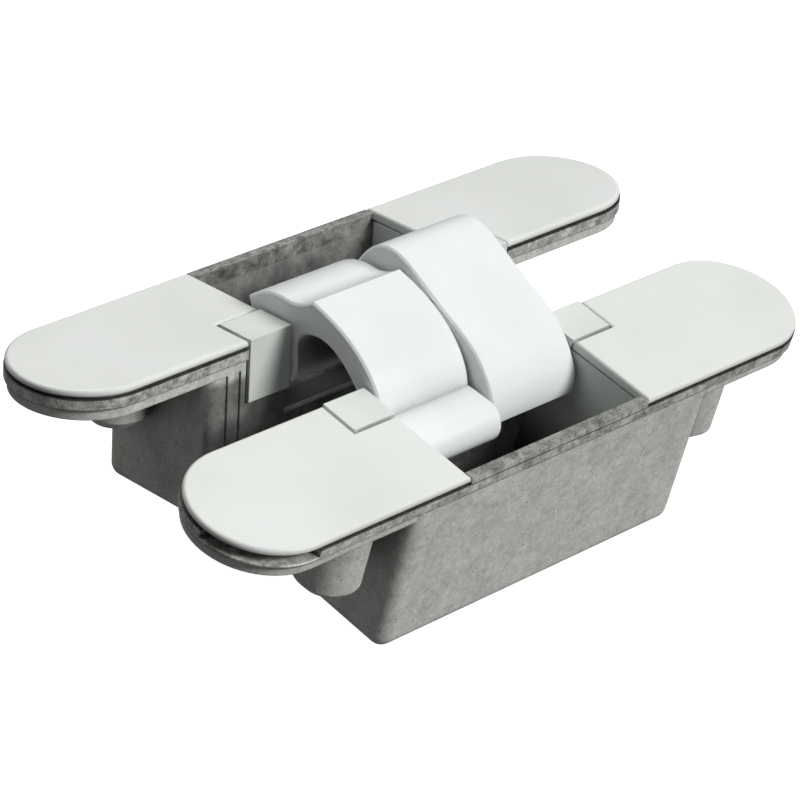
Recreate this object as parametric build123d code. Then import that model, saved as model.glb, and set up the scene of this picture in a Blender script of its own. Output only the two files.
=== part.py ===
from build123d import *
import os
from math import acos, atan2, cos, degrees, radians, sin, sqrt

# Concealed door hinge, opened to its stop.
# One half is drawn with the middle of the gap at Y 0 and its cap faces at Z 0.
# The other half is the same half turned end for end and dropped a little, as the open linkage sets it.

# plate of each half
plate_length = 118.0
plate_width = 22.5
half_gap = 7.6
cap_thick = 1.4
cap_inner = 18.5
cap_lap = 0.1
cap_inset = 0.15
cap_round = 0.6
cap_shadow = 0.55
cap_foot_in = 0.7
cap_leg_radius = 1.2
cap_leg_long = 1.5
cap_leg_end_in = 4.8
flange_upper = 1.6
flange_lower = 1.7
flange_step = 0.5
rim_below = 0.3
pry_long = 12.0
pry_in = 2.0
pry_deep = 1.2

# cast box below the plate
box_left = 33.5
box_right = 28.5
box_depth = 28.5
wall = 1.6
back_set = 0.8
inner_wall = 1.2
box_round = 2.2
mouth_depth = 10.3
throat_depth = 14.6
rib_wide = 1.2
post_radius = 5.0
post_at = 37.0
post_in = 0.5
post_depth = 15.5
post_taper = 1.4
boss_radius = 4.8
boss_long = 2.4
hole_at = 43.0
hole_radius = 2.3
head_radius = 4.6
head_deep = 1.4

# carriage that slides inside the box
slack = 0.25
ear_wide = 8.0
ear_deep = 6.6
ear_gap = 0.3
cheek_below = 0.3
base_thick = 2.0
screw_radius = 2.2
screw_long = 11.0
screw_hex = 1.25
screw_socket = 2.5
screw_down = 0.4

# linkage, measured from the plate edge and the cap face
open_past = 13.3
door_drop = 2.3
pivot_in = 3.0
pivot_down = 6.6
slide_in = 8.9
slide_down = 6.0
cross_up = 9.9
closed_gap = 4.0
pivot_radius = 2.1
slide_radius = 1.8
cross_radius = 1.2
bush_wall = 0.75
roller_wall = 0.8
run_clear = 0.05
move_clear = 0.3
slot_steps = 12

# arms, side by side along X
arm_side = 0.3
arm_split = 0.25
knuckle_big = 10.0
knuckle_lip = 6.5
knuckle_small = 3.9
leg_radius = 3.2
arm_edge = 0.35

# values that follow from those above
middle = half_gap + plate_width / 2
edge_out = half_gap + plate_width
ledge = -cap_thick
step = ledge - flange_upper
flange_under = step - flange_lower
pocket_front = half_gap + back_set + inner_wall
pocket_back = edge_out - wall
pocket_left = wall - box_left
pocket_right = box_right - wall
pocket_floor = wall - box_depth
seat = ledge - head_deep
face = cap_inner - cap_lap
arm_out = face - arm_side
pivot_y = half_gap + pivot_in
slide_y = half_gap + slide_in

# the two pivots of the open hinge: the link frame lies midway, Y towards the frame half's pivot
past = radians(open_past)
door_y = pivot_down * sin(past) - pivot_y * cos(past)
door_z = -door_drop - pivot_y * sin(past) - pivot_down * cos(past)
link_y = (pivot_y + door_y) / 2
link_z = (door_z - pivot_down) / 2
link_half = sqrt((pivot_y - door_y) ** 2 + (pivot_down + door_z) ** 2) / 2
frame_tilt = degrees(atan2(-pivot_down - door_z, pivot_y - door_y))
door_tilt = open_past - frame_tilt

# the crossing pin swings round each pivot from its open place to the closed one
swing_arm = sqrt(link_half**2 + cross_up**2)
rise = closed_gap / 2 + pivot_down
open_dir = degrees(atan2(cross_up, link_half))
closed_dir = degrees(atan2(rise, sqrt(swing_arm**2 - rise**2)))


def cross_place(tilt, share):
    # the crossing pin as a half sees it, share 0 open and 1 closed, for the half's tilt to the link frame
    whole = 180 + tilt - open_dir - closed_dir
    turn = radians(180 + tilt - open_dir - share * whole)
    return (pivot_y + swing_arm * cos(turn), swing_arm * sin(turn) - pivot_down)


def slide_place(tilt, share):
    # the visiting arm's slide pin as a half sees it: it goes with the crossing pin and turns round it
    start = cross_place(tilt, 0)
    now = cross_place(tilt, share)
    turn = radians(-share * (tilt + open_dir + closed_dir))
    y = slide_y - start[0]
    z = -slide_down - start[1]
    return (now[0] + y * cos(turn) - z * sin(turn), now[1] + y * sin(turn) + z * cos(turn))


def far_pin(tilt):
    # an arm's own slide pin in the link frame, for the tilt of the half that it runs in
    turn = radians(tilt)
    in_more = slide_in - pivot_in
    up_more = pivot_down - slide_down
    return (-link_half - in_more * cos(turn) - up_more * sin(turn), up_more * cos(turn) - in_more * sin(turn))


def block(x0, x1, y0, y1, z0, z1):
    return Pos((x0 + x1) / 2, (y0 + y1) / 2, (z0 + z1) / 2) * Box(x1 - x0, y1 - y0, z1 - z0)


def rod_x(radius, x0, x1, y, z):
    return Pos((x0 + x1) / 2, y, z) * Rot(0, 90, 0) * Cylinder(radius, x1 - x0)


def rod_z(radius, x, y, z0, z1):
    return Pos(x, y, (z0 + z1) / 2) * Cylinder(radius, z1 - z0)


def stadium(inset, z0, z1):
    outline = SlotOverall(plate_length - 2 * inset, plate_width - 2 * inset)
    return Pos(0, middle, z0) * extrude(outline, z1 - z0)


def make_housing():
    box = block(-box_left, box_right, half_gap + back_set, edge_out, -box_depth, step)
    low = box.faces().sort_by(Axis.Z)[0]
    box = fillet(low.edges() + box.edges().filter_by(Axis.Z), box_round)
    body = box + stadium(0, step, ledge) + stadium(flange_step, flange_under, step)
    for x in (-post_at, post_at):
        post = rod_z(post_radius, x, edge_out - flange_step - post_in - post_radius, -post_depth, step)
        body += chamfer(post.edges().sort_by(Axis.Z)[0], post_taper)
    for x in (-hole_at, hole_at):
        body += rod_z(boss_radius, x, middle, flange_under - boss_long, flange_under)
    body += block(-face, face, pocket_back, edge_out, ledge, -rim_below)
    for x in (-box_left + box_round + rib_wide, -ear_wide - face - rib_wide, box_right - box_round - rib_wide):
        body += block(x, x + rib_wide, half_gap + flange_step, pocket_front, box_round - box_depth, step)
    body -= block(pocket_left, pocket_right, pocket_front, pocket_back, pocket_floor, cap_thick)
    mouth = face + ear_wide + ear_gap
    body -= block(-mouth, mouth, 0, pocket_front, -mouth_depth, cap_thick)
    body -= block(-face, face, 0, pocket_front, -throat_depth, cap_thick)
    for x in (-hole_at, hole_at):
        body -= rod_z(hole_radius, x, middle, -box_depth, 0)
        body -= rod_z(head_radius, x, middle, seat, 0)
    for x, y in leg_places():
        body -= rod_z(cap_leg_radius, x, y, ledge - cap_leg_long - run_clear, 0)
    # a gap under the cap's outer end corner, where a blade lifts it off
    far = plate_length / 2 + pry_in
    pry = block(far - pry_in - pry_long, far, middle, edge_out + pry_in, ledge - pry_deep, 0)
    return body - (pry - stadium(pry_in, ledge - pry_deep, 0))


def leg_places():
    out = plate_length / 2 - cap_leg_end_in
    near = (box_left + hole_at - head_radius) / 2
    return [(s * x, middle) for s in (-1, 1) for x in (near, out)]


def make_cap(side):
    # the cap stands on a foot set in from its edge, which leaves a dark line above the plate
    cap = stadium(cap_inset, ledge + cap_shadow, 0)
    cap += stadium(cap_inset + cap_foot_in, ledge, ledge + cap_shadow)
    keep = block(cap_inner, plate_length, 0, edge_out + half_gap, ledge, 0)
    ear = block(0, face + ear_wide + ear_gap, 0, half_gap + ear_deep + ear_gap, ledge, 0)
    cap = (cap & keep) - ear
    cap = fillet(cap.faces().sort_by(Axis.Z)[-1].edges(), cap_round)
    for x, y in leg_places():
        if x > 0:
            cap += rod_z(cap_leg_radius, x, y, ledge - cap_leg_long, ledge)
    return cap if side > 0 else mirror(cap, Plane.YZ)


def slot_places(tilt):
    return [slide_place(tilt, i / slot_steps) for i in range(slot_steps + 1)]


def slot_reach():
    return slide_radius + run_clear + roller_wall + move_clear


def make_carriage(tilt):
    front = pocket_front + slack
    back = pocket_back - slack
    left = pocket_left + slack
    right = pocket_right - slack
    top = ledge - cheek_below
    body = block(left, right, front, back, pocket_floor, pocket_floor + base_thick)
    body += block(left, -face, front, back, pocket_floor, top)
    body += block(face, right, front, back, pocket_floor, top)
    low = ear_gap - mouth_depth
    body += block(-face - ear_wide, -face, half_gap, half_gap + ear_deep, low, 0)
    body += block(face, min(face + ear_wide, right), half_gap, half_gap + ear_deep, low, 0)
    body -= rod_x(pivot_radius, -face - ear_wide, -face, pivot_y, -pivot_down)
    places = slot_places(tilt)
    for a, b in zip(places, places[1:]):
        body -= link_bar(a, b, slot_reach(), face, right - wall)
    for s in (-1, 1):
        body -= rod_z(screw_radius, s * screw_x(), screw_y(), top - screw_down - screw_long, 0)
    return body


def screw_x():
    return face + (pocket_right - slack - face) / 2


def screw_y():
    # halfway between the slots' far side and the carriage's back
    deepest = max(y for tilt in (frame_tilt, door_tilt) for y, z in slot_places(tilt))
    return (deepest + slot_reach() + pocket_back - slack) / 2


def link_bar(a, b, radius, x0, x1):
    # round ended bar between two places, laid along X
    long = sqrt((b[0] - a[0]) ** 2 + (b[1] - a[1]) ** 2)
    turn = degrees(atan2(b[1] - a[1], b[0] - a[0]))
    at = Pos((x0 + x1) / 2, (a[0] + b[0]) / 2, (a[1] + b[1]) / 2) * Rot(turn, 0, 0)
    bar = at * Box(x1 - x0, long, 2 * radius)
    return bar + rod_x(radius, x0, x1, *a) + rod_x(radius, x0, x1, *b)


def make_pivot_pin():
    return rod_x(pivot_radius, -face - ear_wide, -arm_split - wall, pivot_y, -pivot_down)


def make_screws():
    top = ledge - cheek_below - screw_down
    pieces = []
    for s in (-1, 1):
        rod = rod_z(screw_radius, s * screw_x(), screw_y(), top - screw_long, top)
        socket = extrude(RegularPolygon(screw_hex, 6), screw_socket)
        pieces.append(rod - Pos(s * screw_x(), screw_y(), top - screw_socket) * socket)
    return Compound(children=pieces)


def around(centre, radius, turn):
    return (centre[0] + radius * cos(radians(turn)), centre[1] + radius * sin(radians(turn)))


def heading(turn):
    return (cos(radians(turn)), sin(radians(turn)))


def touch_turn(centre, radius, point, side):
    # where a straight line from an outside point touches a circle, as an angle round its centre
    y = point[0] - centre[0]
    z = point[1] - centre[1]
    return degrees(atan2(z, y) + side * acos(radius / sqrt(y**2 + z**2)))


def arc(centre, radius, turn, last):
    ThreePointArc(*[around(centre, radius, a) for a in (turn, (turn + last) / 2, last)])


def along(*shares):
    # points of an arm's side, as shares of half the link and of the crossing's height
    return [(a * link_half, b * cross_up) for a, b in shares]


def notched_side(pivot, foot):
    # big knuckle, a dip, a sharp corner, then a long back down to a crease above the foot
    low, back, high, foot_in = 165, 35, 84, 290
    corner_run = 136
    big_start = around(pivot, knuckle_big, back)
    corner, crease = along((0.622, 1.278), (-1.134, 0.364))
    under = 360 + touch_turn(pivot, knuckle_small, big_start, -1)
    foot_out = touch_turn(foot, leg_radius, crease, 1)
    arc(pivot, knuckle_small, low, under)
    Line(around(pivot, knuckle_small, under), big_start)
    arc(pivot, knuckle_big, back, high)
    dip = [around(pivot, knuckle_big, high), *along((0.843, 1.091), (0.743, 1.162)), corner]
    Spline(*dip, tangents=(heading(high + 90), heading(corner_run)))
    top = along((0.241, 1.242), (-0.095, 1.172), (-0.462, 1.03), (-0.773, 0.833), (-1.024, 0.566))
    Spline(corner, *top, crease)
    Line(crease, around(foot, leg_radius, foot_out))
    arc(foot, leg_radius, foot_out, foot_in)
    hollow = along((-0.954, 0.121), (-0.572, 0.455), (-0.251, 0.667))
    hollow += along((0.11, 0.798), (0.522, 0.737), (0.703, 0.566))
    ends = (heading(foot_in + 90), heading(low + 90))
    Spline(around(foot, leg_radius, foot_in), *hollow, around(pivot, knuckle_small, low), tangents=ends)


def smooth_side(pivot, foot):
    # lipped knuckle, then one smooth back that rises to a hump over the foot
    low, lip, high, foot_out, foot_in = 160, -8, 38, 155, 350
    low_run = 293
    lip_start = around(pivot, knuckle_lip, lip)
    under = 360 + touch_turn(pivot, knuckle_small, lip_start, -1)
    arc(pivot, knuckle_small, low, under)
    Line(around(pivot, knuckle_small, under), lip_start)
    arc(pivot, knuckle_lip, lip, high)
    rising = along((1.054, 0.828), (0.261, 1.111), (-0.402, 1.335))
    falling = along((-0.883, 1.424), (-1.28, 1.23), (-1.53, 0.76))
    back = [around(pivot, knuckle_lip, high), *rising, *falling, around(foot, leg_radius, foot_out)]
    Spline(*back, tangents=(heading(high + 90), heading(foot_out + 90)))
    arc(foot, leg_radius, foot_out, foot_in)
    hollow = along((-1.154, 0.364), (-0.984, 0.768), (-0.662, 0.929))
    hollow += along((-0.251, 0.879), (0.1, 0.768), (0.442, 0.596))
    ends = (heading(foot_in + 90), heading(low_run))
    Spline(around(foot, leg_radius, foot_in), *hollow, around(pivot, knuckle_small, low), tangents=ends)


def make_arm(side, foot):
    # side outline in the link frame: knuckle on the pivot at +Y, foot round the slide pin at -Y
    pivot = (link_half, 0)
    with BuildLine() as outline:
        side(pivot, foot)
    flat = Plane.YZ * make_face(outline.line)
    arm = Pos(-arm_out, 0, 0) * extrude(flat, arm_out - arm_split, dir=(1, 0, 0))
    ends = arm.faces().sort_by(Axis.X)
    arm = chamfer(ends[0].edges() + ends[-1].edges(), arm_edge)
    arm -= rod_x(pivot_radius + run_clear + bush_wall, -arm_out, -arm_split, *pivot)
    return arm - rod_x(slide_radius, -arm_out, -arm_split - wall, *foot)


def make_bush():
    ring = rod_x(pivot_radius + run_clear + bush_wall, -arm_out, -arm_split, link_half, 0)
    return ring - rod_x(pivot_radius + run_clear, -arm_out, -arm_split, link_half, 0)


slide_end = -(pocket_right - slack - wall - move_clear)


def make_slide_pin(foot):
    return rod_x(slide_radius, slide_end, -arm_split - wall, *foot)


def make_roller(foot):
    x1 = -face - move_clear / 2
    ring = rod_x(slide_radius + run_clear + roller_wall, slide_end, x1, *foot)
    return ring - rod_x(slide_radius, slide_end, x1, *foot)


# places: the frame half stays, the link frame carries both arms, and the door half hangs on its pivot
home = Pos(0, -middle, -seat)
frame_link = home * Pos(0, link_y, link_z) * Rot(frame_tilt, 0, 0)
door_link = frame_link * Rot(0, 0, 180)
door_home = door_link * Pos(0, link_half, 0) * Rot(-door_tilt, 0, 0) * Pos(0, -pivot_y, pivot_down)

cap_left = make_cap(-1)
cap_right = make_cap(1)
housing = make_housing()
pivot_pin = make_pivot_pin()
screws = make_screws()
cross_end = arm_out - wall
cross_hole = rod_x(cross_radius, -cross_end, 0, 0, cross_up)
loose_hole = rod_x(cross_radius + run_clear, -cross_end - wall / 2, 0, 0, cross_up)

nodes = {}
for name, place, tilt in (("frame", home, frame_tilt), ("door", door_home, door_tilt)):
    nodes[name + "_housing"] = place * housing
    nodes[name + "_carriage"] = place * make_carriage(tilt)
    nodes[name + "_pivot_pin"] = place * pivot_pin
    nodes[name + "_adjusting_screws"] = place * screws
nodes["frame_cap_left"] = home * cap_left
nodes["frame_cap_right"] = home * cap_right
nodes["door_cap_left"] = door_home * cap_right
nodes["door_cap_right"] = door_home * cap_left
nodes["frame_arm"] = frame_link * (make_arm(notched_side, far_pin(door_tilt)) - cross_hole)
nodes["door_arm"] = door_link * (make_arm(smooth_side, far_pin(frame_tilt)) - loose_hole)
for name, place, tilt in (("frame_arm_", frame_link, door_tilt), ("door_arm_", door_link, frame_tilt)):
    nodes[name + "bush"] = place * make_bush()
    nodes[name + "slide_pin"] = place * make_slide_pin(far_pin(tilt))
    nodes[name + "roller"] = place * make_roller(far_pin(tilt))
nodes["crossing_pin"] = frame_link * rod_x(cross_radius, -cross_end, cross_end, 0, cross_up)

os.makedirs("parts", exist_ok=True)
for name, shape in nodes.items():
    export_step(shape, "parts/" + name + ".step")
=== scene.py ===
import math

import bpy
import numpy as np
from mathutils import Matrix, Vector


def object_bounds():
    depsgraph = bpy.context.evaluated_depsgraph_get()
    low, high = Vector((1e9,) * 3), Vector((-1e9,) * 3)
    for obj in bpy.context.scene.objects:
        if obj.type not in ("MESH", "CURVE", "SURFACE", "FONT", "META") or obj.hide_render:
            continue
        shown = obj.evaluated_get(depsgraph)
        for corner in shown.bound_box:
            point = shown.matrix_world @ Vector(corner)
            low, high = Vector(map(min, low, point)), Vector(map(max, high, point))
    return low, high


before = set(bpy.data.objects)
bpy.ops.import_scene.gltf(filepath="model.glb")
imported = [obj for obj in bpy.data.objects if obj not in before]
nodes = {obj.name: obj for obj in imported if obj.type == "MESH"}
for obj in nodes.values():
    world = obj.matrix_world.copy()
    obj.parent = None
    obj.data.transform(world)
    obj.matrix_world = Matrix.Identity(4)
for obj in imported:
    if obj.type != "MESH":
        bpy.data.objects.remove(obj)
cadLow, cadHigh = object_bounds()
print("frame loaded:", len(nodes), "nodes")

mm = 0.001


def linear(hexColour):
    # sRGB hex to linear: the standard curve, straight below 0.04045 and a 2.4 power above
    c = np.array([int(hexColour[i:i + 2], 16) for i in (1, 3, 5)]) / 255
    c = np.where(c <= 0.04045, c / 12.92, ((c + 0.055) / 1.055) ** 2.4)
    return (*c.tolist(), 1.0)


def per(size):
    return 1000.0 / size   # noise scale that gives one grain each so many millimetres


def addNode(tree, kind, inputs=None, row=(), **settings):
    # inputs: name or number -> value, or (node, output) for a link; row: values for inputs 1, 2, 3 and so on
    made = tree.nodes.new("ShaderNode" + kind)
    for name, value in settings.items():
        setattr(made, name, value)
    for name, value in [*(inputs or {}).items(), *enumerate(row, 1)]:
        if isinstance(value, tuple) and isinstance(value[0], bpy.types.Node):
            tree.links.new(value[0].outputs[value[1]], made.inputs[name])
        else:
            made.inputs[name].default_value = value
    return made


def startMaterial(name):
    material = bpy.data.materials.new(name)
    material.use_nodes = True
    tree = material.node_tree
    tree.nodes.clear()
    place = addNode(tree, "TexCoord")
    return material, tree, (place, "Object")


def endMaterial(tree, shader):
    addNode(tree, "OutputMaterial", {"Surface": (shader, "BSDF")})


def dress(material, *names):
    for name in names:
        slots = nodes[name].data.materials
        slots.clear()
        slots.append(material)


# each half's own axes, as found at the origin, in millimetres: up, with the height above the housing's
# parting line, away from the other half, with the depth behind the housing's inner face, and the pocket's
# middle along X
halfAxes = {
    "frame": {
        "up": (0.0, 0.0, 1.0), "rise": 0.2,
        "away": (0.0, 1.0, 0.0), "depth": 10.45, "middle": -2.5},
    "door": {
        "up": (0.0, -0.23005, 0.97318), "rise": -1.823,
        "away": (0.0, -0.97318, -0.23005), "depth": -26.63, "middle": 2.5},
}

# raw die-cast zinc: dull grey metal, clouded by the flow of the melt, with fine grit, small dark pits,
# paler rubbed edges that are partly painted highlight, a worn rim above the parting line of the mould, and
# painted shade in corners, in the pocket, on the inner face and along the ledge under the caps
castZincLook = {
    "tones": ((0.36, "#BDBEB9"), (0.5, "#D8D9D4"), (0.64, "#ECEDE8")),
    # the darkest colour serves both the broken hairline on the parting line and the painted shade; the palest
    # serves knocks and rubbed edges, which are partly painted highlight
    "pit": "#6A6B66", "edge": "#F4F5F0", "seamAndShade": "#1C1D1A", "worn": "#4C4D47", "metallic": 0.28,
    # grain sizes, reaches and heights in millimetres
    "cloud": 5.0, "streak": 1.1, "grit": 0.34, "pitGap": 1.6, "knockGap": 1.1, "wear": 2.4,
    "edgeRound": 0.3, "shadeReach": 11.0, "bumpDeep": 0.05, "ledgeHeight": 1.6,
    "bump": 0.45,   # strength
    # masks: where each starts and ends, and what it gives there
    "pocketEnds": (30.0 * mm, 29.6 * mm, 0.0, 1.0),
    "pocketBack": (20.6 * mm, 20.2 * mm, 0.0, 1.0),
    "pocketFront": (0.85 * mm, 1.15 * mm, 0.0, 1.0),
    "pocketFloor": (-24.9 * mm, -24.4 * mm, 0.0, 1.0),
    "pitSpot": (0.04, 0.14, 1.0, 0.0), "pitOdds": (0.47, 0.57, 0.0, 0.85),
    "knockSpot": (0.1, 0.24, 0.75, 0.0), "knockOdds": (0.52, 0.42, 0.0, 1.0),
    "rim": (0.0, 0.25 * mm, 0.08, 0.8), "blotch": (0.42, 0.62, 0.0, 1.0),
    "line": (0.064 * mm, 0.16 * mm, 0.75, 0.0), "lineOdds": (0.34, 0.52, 0.25, 1.0),
    "turned": (0.99, 0.86, 0.0, 0.9), "rubAndHighlightOdds": (0.56, 0.44, 0.1, 1.0),
    # masks of the painted shade: in inner corners, on the inner face below the parting line, in the pocket
    # and on the ledge under the caps; and of the darkened top of the long wall
    "corner": (0.85, 0.4, 0.0, 0.75),
    "innerFace": (1.6 * mm, 0.9 * mm, 0.0, 0.8), "lowShadeTop": (-2.2 * mm, -3.4 * mm, 0.0, 1.0),
    "lowShadeUneven": (0.36, 0.6, 0.72, 1.0), "pocketShadeUneven": (0.35, 0.65, 0.42, 0.78),
    "ledge": (0.05 * mm, 0.15 * mm, 0.9, 0.0), "crest": (2.55 * mm, 2.65 * mm, 0.0, 0.5),
    "rough": (0.3, 0.7, 0.42, 0.6),
}


def castPlaces(tree, at, s, axes):
    # height over the parting line, depth behind the inner face, and a mask of the pocket between the walls
    along = addNode(tree, "VectorMath", {0: at, 1: axes["up"]}, operation="DOT_PRODUCT")
    height = addNode(tree, "Math", {0: (along, "Value"), 1: axes["rise"] * mm}, operation="ADD")
    inward = addNode(tree, "VectorMath", {0: at, 1: axes["away"]}, operation="DOT_PRODUCT")
    behind = addNode(tree, "Math", {0: (inward, "Value"), 1: axes["depth"] * mm}, operation="ADD")
    split = addNode(tree, "SeparateXYZ", {0: at})
    shifted = addNode(tree, "Math", {0: (split, "X"), 1: -axes["middle"] * mm}, operation="ADD")
    sideways = addNode(tree, "Math", {0: (shifted, 0)}, operation="ABSOLUTE")
    pocket = addNode(tree, "MapRange", {"Value": (sideways, 0)}, s["pocketEnds"])
    for measure, limit in ((behind, "pocketBack"), (behind, "pocketFront"), (height, "pocketFloor")):
        inside = addNode(tree, "MapRange", {"Value": (measure, 0)}, s[limit])
        pocket = addNode(tree, "Math", {0: (pocket, 0), 1: (inside, 0)}, operation="MULTIPLY")
    return height, behind, pocket


def castSkin(tree, at, s, cloud, streak, grit):
    # the mean of three noises gives the tone
    two = addNode(tree, "Math", {0: (cloud, "Fac"), 1: (streak, "Fac")}, operation="ADD")
    three = addNode(tree, "Math", {0: (two, 0), 1: (grit, "Fac")}, operation="ADD")
    mean = addNode(tree, "Math", {0: (three, 0), 1: 1 / 3}, operation="MULTIPLY")
    tone = addNode(tree, "ValToRGB", {"Fac": (mean, 0)})
    tone.color_ramp.elements.new(0.5)   # a third stop, between the ramp's own two
    for stop, (position, shade) in zip(tone.color_ramp.elements, s["tones"]):
        stop.position = position
        stop.color = linear(shade)
    # dark pits, in patches
    pits = addNode(tree, "TexVoronoi", {"Vector": at, "Scale": per(s["pitGap"]), "Randomness": 1.0})
    pitSpot = addNode(tree, "MapRange", {"Value": (pits, "Distance")}, s["pitSpot"])
    pitOdds = addNode(tree, "MapRange", {"Value": (streak, "Fac")}, s["pitOdds"])
    pitHere = addNode(tree, "Math", {0: (pitSpot, 0), 1: (pitOdds, 0)}, operation="MULTIPLY")
    pitted = addNode(tree, "Mix", {
        0: (pitHere, 0), 6: (tone, "Color"), 7: linear(s["pit"])}, data_type="RGBA")
    # bright specks where the skin was knocked
    knocks = addNode(tree, "TexVoronoi", {"Vector": at, "Scale": per(s["knockGap"]), "Randomness": 1.0})
    knockSpot = addNode(tree, "MapRange", {"Value": (knocks, "Distance")}, s["knockSpot"])
    knockOdds = addNode(tree, "MapRange", {"Value": (streak, "Fac")}, s["knockOdds"])
    knockHere = addNode(tree, "Math", {0: (knockSpot, 0), 1: (knockOdds, 0)}, operation="MULTIPLY")
    knocked = addNode(tree, "Mix", {
        0: (knockHere, 0), 6: (pitted, 2), 7: linear(s["edge"])}, data_type="RGBA")
    return knocked, pitHere


def castWear(tree, s, skin, height, pocket, streak, wear):
    # worn blotches above the parting line
    rim = addNode(tree, "MapRange", {"Value": (height, 0)}, s["rim"])
    blotch = addNode(tree, "MapRange", {"Value": (wear, "Fac")}, s["blotch"])
    wornHere = addNode(tree, "Math", {0: (rim, 0), 1: (blotch, 0)}, operation="MULTIPLY")
    worn = addNode(tree, "Mix", {0: (wornHere, 0), 6: (skin, 2), 7: linear(s["worn"])}, data_type="RGBA")
    # a dark broken hairline on the parting line, but not in the pocket
    off = addNode(tree, "Math", {0: (height, 0)}, operation="ABSOLUTE")
    line = addNode(tree, "MapRange", {"Value": (off, 0)}, s["line"])
    lineOdds = addNode(tree, "MapRange", {"Value": (streak, "Fac")}, s["lineOdds"])
    broken = addNode(tree, "Math", {0: (line, 0), 1: (lineOdds, 0)}, operation="MULTIPLY")
    lineHere = addNode(tree, "Math", {0: (broken, 0), 1: (pocket, 0)}, operation="SUBTRACT", use_clamp=True)
    lined = addNode(tree, "Mix", {0: (lineHere, 0), 6: (worn, 2), 7: linear(s["seamAndShade"])}, data_type="RGBA")
    # rubbed edges, partly real wear and partly painted highlight: paler where the rounded normal leaves the
    # flat one, broken up by the wear
    rounded = addNode(tree, "Bevel", {"Radius": s["edgeRound"] * mm}, samples=4)
    flat = addNode(tree, "NewGeometry")
    same = addNode(tree, "VectorMath", {0: (rounded, 0), 1: (flat, "Normal")}, operation="DOT_PRODUCT")
    turned = addNode(tree, "MapRange", {"Value": (same, "Value")}, s["turned"])
    rubAndHighlightOdds = addNode(tree, "MapRange", {"Value": (wear, "Fac")}, s["rubAndHighlightOdds"])
    rubbedAndHighlit = addNode(tree, "Math", {0: (turned, 0), 1: (rubAndHighlightOdds, 0)}, operation="MULTIPLY")
    edged = addNode(tree, "Mix", {0: (rubbedAndHighlit, 0), 6: (lined, 2), 7: linear(s["edge"])}, data_type="RGBA")
    return edged, rounded


def castPaintedShade(tree, s, height, behind, pocket, cloud):
    # painted shade in inner corners, found from how much the casting closes round a spot
    closed = addNode(tree, "AmbientOcclusion", {
        "Distance": s["shadeReach"] * mm}, samples=8, only_local=True)
    corner = addNode(tree, "MapRange", {"Value": (closed, "AO")}, s["corner"])
    # painted shade on the inner face, below the parting line, in uneven patches
    inner = addNode(tree, "MapRange", {"Value": (behind, 0)}, s["innerFace"])
    below = addNode(tree, "MapRange", {"Value": (height, 0)}, s["lowShadeTop"])
    shadedFace = addNode(tree, "Math", {0: (inner, 0), 1: (below, 0)}, operation="MULTIPLY")
    uneven = addNode(tree, "MapRange", {"Value": (cloud, "Fac")}, s["lowShadeUneven"])
    lowShade = addNode(tree, "Math", {0: (shadedFace, 0), 1: (uneven, 0)}, operation="MULTIPLY")
    # painted shade inside the pocket, in uneven patches
    pocketShadeUneven = addNode(tree, "MapRange", {"Value": (cloud, "Fac")}, s["pocketShadeUneven"])
    pocketShade = addNode(tree, "Math", {0: (pocket, 0), 1: (pocketShadeUneven, 0)}, operation="MULTIPLY")
    # painted shade: the ledge below the cap's edge is kept as a dark line, the shade of the gap under the cap
    fromLedge = addNode(tree, "Math", {0: (height, 0), 1: -s["ledgeHeight"] * mm}, operation="ADD")
    offLedge = addNode(tree, "Math", {0: (fromLedge, 0)}, operation="ABSOLUTE")
    ledgeAll = addNode(tree, "MapRange", {"Value": (offLedge, 0)}, s["ledge"])
    ledge = addNode(tree, "Math", {0: (ledgeAll, 0), 1: (pocket, 0)}, operation="SUBTRACT", use_clamp=True)
    # the top of the long wall between the caps is darkened too, about half as much
    crest = addNode(tree, "MapRange", {"Value": (height, 0)}, s["crest"])
    # the strongest of the five counts
    paintedShade = corner
    for darkening in (lowShade, pocketShade, ledge, crest):
        paintedShade = addNode(tree, "Math", {0: (paintedShade, 0), 1: (darkening, 0)}, operation="MAXIMUM")
    return paintedShade


def castZinc(name, s, axes):
    material, tree, at = startMaterial(name)
    cloud = addNode(tree, "TexNoise", {
        "Vector": at, "Scale": per(s["cloud"]), "Detail": 6.0, "Roughness": 0.62})
    streak = addNode(tree, "TexNoise", {
        "Vector": at, "Scale": per(s["streak"]), "Detail": 4.0, "Distortion": 0.6})
    grit = addNode(tree, "TexNoise", {"Vector": at, "Scale": per(s["grit"]), "Detail": 2.0})
    wear = addNode(tree, "TexNoise", {
        "Vector": at, "Scale": per(s["wear"]), "Detail": 8.0, "Roughness": 0.82})
    height, behind, pocket = castPlaces(tree, at, s, axes)
    skin, pitHere = castSkin(tree, at, s, cloud, streak, grit)
    edged, rounded = castWear(tree, s, skin, height, pocket, streak, wear)
    # painted shade in corners, on the inner face, in the pocket and along the ledge, with the darkened top of
    # the long wall, mixed towards the darkest colour
    paintedShade = castPaintedShade(tree, s, height, behind, pocket, cloud)
    colour = addNode(tree, "Mix", {0: (paintedShade, 0), 6: (edged, 2), 7: linear(s["seamAndShade"])}, data_type="RGBA")
    rough = addNode(tree, "MapRange", {"Value": (streak, "Fac")}, s["rough"])
    deep = addNode(tree, "Math", {0: (grit, "Fac"), 1: (pitHere, 0)}, operation="SUBTRACT")
    bump = addNode(tree, "Bump", {
        "Height": (deep, 0), "Strength": s["bump"], "Distance": s["bumpDeep"] * mm, "Normal": (rounded, 0)})
    shader = addNode(tree, "BsdfPrincipled", {
        "Base Color": (colour, 2), "Roughness": (rough, 0), "Metallic": s["metallic"], "Normal": (bump, 0)})
    endMaterial(tree, shader)
    return material


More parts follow.
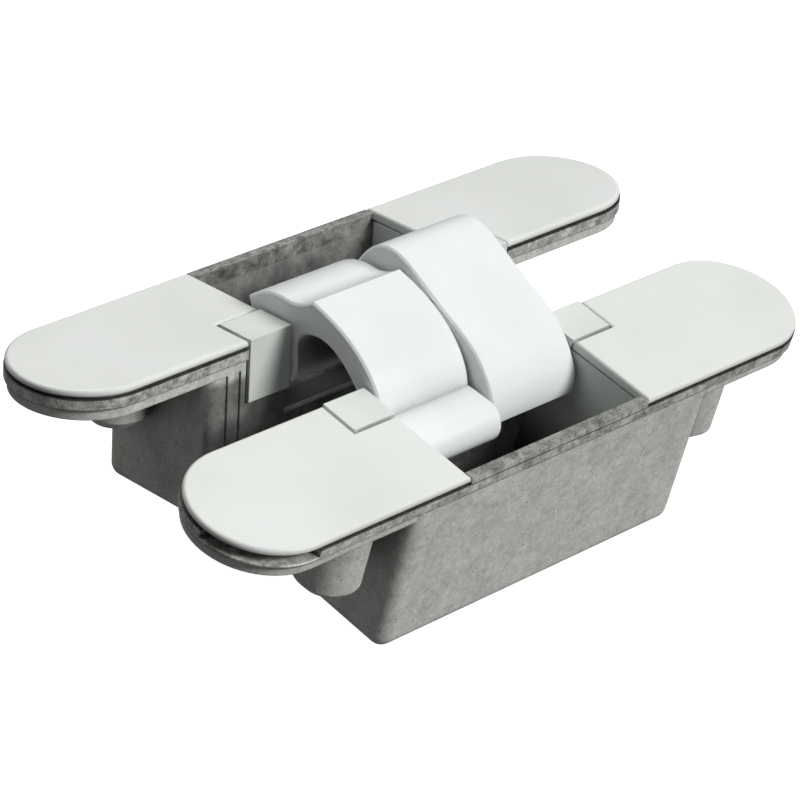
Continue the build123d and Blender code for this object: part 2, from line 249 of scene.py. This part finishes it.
# four pale skins, with their patches, bumps, rounded edges and reach of the painted shade in corners, in
# millimetres
# satin enamel on the arms: cool white, faint orange peel, slightly glossier than the caps
enamelLook = {
    "tones": ((0.35, "#E3E7E6"), (0.65, "#E9ECEC")), "patch": 14.0, "peel": 0.9, "edgeRound": 0.25,
    "cornerShade": "#2A2B28", "cornerShadeReach": 24.0, "rough": (0.3, 0.7, 0.30, 0.42), "bump": 0.18,
}

# the carriages' enamel: the same paint over a rougher casting, greyer and flatter
carriageLook = {
    "tones": ((0.35, "#D1D6D1"), (0.65, "#D9DED9")), "patch": 10.0, "peel": 0.7, "edgeRound": 0.25,
    "cornerShade": "#868B85", "cornerShadeReach": 16.0, "rough": (0.3, 0.7, 0.36, 0.48), "bump": 0.22,
    # painted shade towards the bottom of the pocket
    "lowShade": "#3A3D38", "lowShadeDepth": (-9.0 * mm, -18.0 * mm, 0.0, 0.9),   # by height over the parting line
}

# moulded plastic of the caps: pale grey-green white with a fine spark texture
capLook = {
    "tones": ((0.35, "#D8DBD6"), (0.65, "#DEE1DD")), "patch": 18.0, "peel": 0.35, "edgeRound": 0.2,
    "cornerShade": "#0F100E", "cornerShadeReach": 1.6, "rough": (0.3, 0.7, 0.40, 0.52), "bump": 0.12,
}

# acetal of the bushes and rollers: waxy off-white
acetalLook = {
    "tones": ((0.35, "#D9D8D0"), (0.65, "#E6E5DE")), "patch": 6.0, "peel": 0.5, "edgeRound": 0.2,
    "cornerShade": "#8C8B84", "cornerShadeReach": 2.0, "rough": (0.3, 0.7, 0.34, 0.46), "bump": 0.1,
}

# the same for all four: how far a spot has to close in to take painted shade, and the depth of the skin's
# bumps
skinShaded = (0.84, 0.5, 0.0, 0.92)
skinDeep = 0.02   # millimetres


def paleSkin(name, s, axes=None):
    # two close tones in wide soft patches, a fine skin of bumps, and painted shade where the piece closes in
    material, tree, at = startMaterial(name)
    patch = addNode(tree, "TexNoise", {"Vector": at, "Scale": per(s["patch"]), "Detail": 3.0})
    peel = addNode(tree, "TexNoise", {"Vector": at, "Scale": per(s["peel"]), "Detail": 2.0})
    tone = addNode(tree, "ValToRGB", {"Fac": (patch, "Fac")})
    for stop, (position, shade) in zip(tone.color_ramp.elements, s["tones"]):
        stop.position = position
        stop.color = linear(shade)
    rough = addNode(tree, "MapRange", {"Value": (peel, "Fac")}, s["rough"])
    rounded = addNode(tree, "Bevel", {"Radius": s["edgeRound"] * mm}, samples=4)
    bump = addNode(tree, "Bump", {
        "Height": (peel, "Fac"), "Strength": s["bump"], "Distance": skinDeep * mm, "Normal": (rounded, 0)})
    # painted shade: darker where the piece closes in round a spot
    closed = addNode(tree, "AmbientOcclusion", {
        "Distance": s["cornerShadeReach"] * mm}, samples=8, only_local=True)
    shadedHere = addNode(tree, "MapRange", {"Value": (closed, "AO")}, skinShaded)
    colour = addNode(tree, "Mix", {
        0: (shadedHere, 0), 6: (tone, "Color"), 7: linear(s["cornerShade"])}, data_type="RGBA")
    if axes:
        # painted shade, darker towards the bottom of the pocket
        along = addNode(tree, "VectorMath", {0: at, 1: axes["up"]}, operation="DOT_PRODUCT")
        height = addNode(tree, "Math", {0: (along, "Value"), 1: axes["rise"] * mm}, operation="ADD")
        low = addNode(tree, "MapRange", {"Value": (height, 0)}, s["lowShadeDepth"])
        colour = addNode(tree, "Mix", {0: (low, 0), 6: (colour, 2), 7: linear(s["lowShade"])}, data_type="RGBA")
    shader = addNode(tree, "BsdfPrincipled", {
        "Base Color": (colour, 2), "Roughness": (rough, 0), "IOR": 1.5, "Normal": (bump, 0)})
    endMaterial(tree, shader)
    return material


# ground steel of the pins: bright, with fine grinding rings round their axis, which lies along X
pinLook = {
    "tones": ((0.3, "#A6A9AA"), (0.7, "#C9CBCC")), "line": 0.4, "stretch": 0.05,
    "rough": (0.3, 0.7, 0.22, 0.36),
}

# zinc-plated steel of the adjusting screws: bright and faintly mottled, with no direction
screwLook = {
    "tones": ((0.3, "#A0A3A4"), (0.7, "#C4C6C6")), "line": 0.6, "stretch": 1.0,
    "rough": (0.3, 0.7, 0.26, 0.40),
}


def brightSteel(name, s):
    # noise drawn out across X by the stretch, so that it runs in rings
    material, tree, at = startMaterial(name)
    drawn = addNode(tree, "Mapping", {"Vector": at, "Scale": (1.0, s["stretch"], s["stretch"])})
    ring = addNode(tree, "TexNoise", {"Vector": (drawn, 0), "Scale": per(s["line"]), "Detail": 3.0})
    tone = addNode(tree, "ValToRGB", {"Fac": (ring, "Fac")})
    for stop, (position, shade) in zip(tone.color_ramp.elements, s["tones"]):
        stop.position = position
        stop.color = linear(shade)
    rough = addNode(tree, "MapRange", {"Value": (ring, "Fac")}, s["rough"])
    shader = addNode(tree, "BsdfPrincipled", {
        "Base Color": (tone, "Color"), "Roughness": (rough, 0), "Metallic": 1.0})
    endMaterial(tree, shader)
    return material


dress(paleSkin("satinEnamelWhite", enamelLook), "frame_arm", "door_arm")
dress(paleSkin("mouldedCapPlastic", capLook),
      "frame_cap_left", "frame_cap_right", "door_cap_left", "door_cap_right")
dress(paleSkin("acetalWaxy", acetalLook),
      "frame_arm_bush", "door_arm_bush", "frame_arm_roller", "door_arm_roller")
dress(brightSteel("groundSteelRinged", pinLook),
      "frame_pivot_pin", "door_pivot_pin", "frame_arm_slide_pin", "door_arm_slide_pin", "crossing_pin")
dress(brightSteel("zincPlatedSteelMottled", screwLook), "frame_adjusting_screws", "door_adjusting_screws")
for half, axes in halfAxes.items():
    dress(castZinc(half + "DieCastZincRaw", castZincLook, axes), half + "_housing")
    dress(paleSkin(half + "SatinEnamelGreyWhite", carriageLook, axes), half + "_carriage")
print("materials on the CAD nodes")

# floor: a wide flat sheet of matt paper that curves up behind, with a glow that keeps it white, in metres
floorLook = {
    "paper": "#9C9C9B", "light": "#FFFFFF", "glow": 1.0, "rough": 0.9,
    "half": 3.0, "riseAt": 1.2, "riseRound": 0.8, "riseSteps": 24, "height": 2.0,
}


def paleSweep(s):
    # profile (along, up) carried straight across: flat, a quarter circle, then upright, facing the camera
    turn = np.linspace(0, math.pi / 2, s["riseSteps"])
    bend = s["riseAt"] + s["riseRound"] * np.sin(turn)
    along = np.concatenate([[-s["half"]], bend, [s["riseAt"] + s["riseRound"]]])
    up = np.concatenate([[0], s["riseRound"] * (1 - np.cos(turn)), [s["height"]]])
    across = np.array([-s["half"], s["half"]])
    a, b = np.meshgrid(along, across, indexing="ij")
    h = np.repeat(up[:, None], 2, 1)
    # away from the camera is the (1, 1) direction of the floor
    k = math.sqrt(0.5)
    verts = np.stack([k * (a + b), k * (a - b), h + cadLow.z], -1).reshape(-1, 3)
    i = np.arange(len(along) - 1)
    faces = np.stack([2 * i, 2 * i + 1, 2 * i + 3, 2 * i + 2], 1)
    mesh = bpy.data.meshes.new("floorSweep")
    mesh.from_pydata(verts.tolist(), [], faces.tolist())
    mesh.polygons.foreach_set("use_smooth", np.ones(len(faces), bool))
    sweep = bpy.data.objects.new("floorSweep", mesh)
    bpy.context.scene.collection.objects.link(sweep)
    material, tree = startMaterial("paperWhiteMatt")[:2]
    shader = addNode(tree, "BsdfPrincipled", {
        "Base Color": linear(s["paper"]), "Roughness": s["rough"],
        "Emission Color": linear(s["light"]), "Emission Strength": s["glow"]})
    endMaterial(tree, shader)
    mesh.materials.append(material)
    sweep.visible_diffuse = False   # the sheet's own light stays off the hinge's shaded sides
    sweep.visible_glossy = False


paleSweep(floorLook)
print("floor laid")

# camera: found from the two plates' outlines in the photograph
cameraSet = {
    "azimuth": -46.60, "elevation": 27.28, "roll": 3.55, "focalPixels": 3635.75, "imagePixels": 800,
    "place": (-346.2, -343.35, 232.3),   # millimetres
    "sensor": 36,   # millimetres
    "near": 0.01, "far": 20,   # metres
}


def makeCamera(s):
    a, e, r = (math.radians(s[k]) for k in ("azimuth", "elevation", "roll"))
    back = np.array([math.sin(a) * math.cos(e), -math.cos(a) * math.cos(e), math.sin(e)])
    right = np.array([math.cos(a), math.sin(a), 0])
    up = np.cross(back, right)
    data = bpy.data.cameras.new("photoCamera")
    data.sensor_width = s["sensor"]
    data.lens = s["sensor"] * s["focalPixels"] / s["imagePixels"]
    data.clip_start = s["near"]
    data.clip_end = s["far"]
    camera = bpy.data.objects.new("photoCamera", data)
    matrix = np.eye(4)
    matrix[:3, 0] = math.cos(r) * right + math.sin(r) * up
    matrix[:3, 1] = math.cos(r) * up - math.sin(r) * right
    matrix[:3, 2] = back
    matrix[:3, 3] = np.array(s["place"]) * mm
    camera.matrix_world = Matrix(matrix.tolist())
    bpy.context.scene.collection.objects.link(camera)
    bpy.context.scene.camera = camera


makeCamera(cameraSet)

# soft studio light: a wide one overhead, a smaller one high in front on the right, and a dim even room
lightSet = {
    "top": {"from": (0.1, 0.5, 0.86), "wide": 50, "strength": 1.9},
    "front": {"from": (0.32, -0.8, 0.5), "wide": 20, "strength": 2.8},
    "room": 0.11,
}


def makeLights(s):
    for name in ("top", "front"):
        data = bpy.data.lights.new(name, "SUN")
        data.angle = math.radians(s[name]["wide"])
        data.energy = s[name]["strength"]
        lamp = bpy.data.objects.new(name, data)
        lamp.rotation_euler = Vector(s[name]["from"]).to_track_quat("Z", "Y").to_euler()
        bpy.context.scene.collection.objects.link(lamp)
    world = bpy.data.worlds.new("studio")
    world.use_nodes = True
    room = world.node_tree.nodes["Background"]
    room.inputs["Color"].default_value = (1, 1, 1, 1)
    room.inputs["Strength"].default_value = s["room"]
    bpy.context.scene.world = world


makeLights(lightSet)
bpy.context.scene.view_settings.view_transform = "Standard"
print("camera and lights placed")
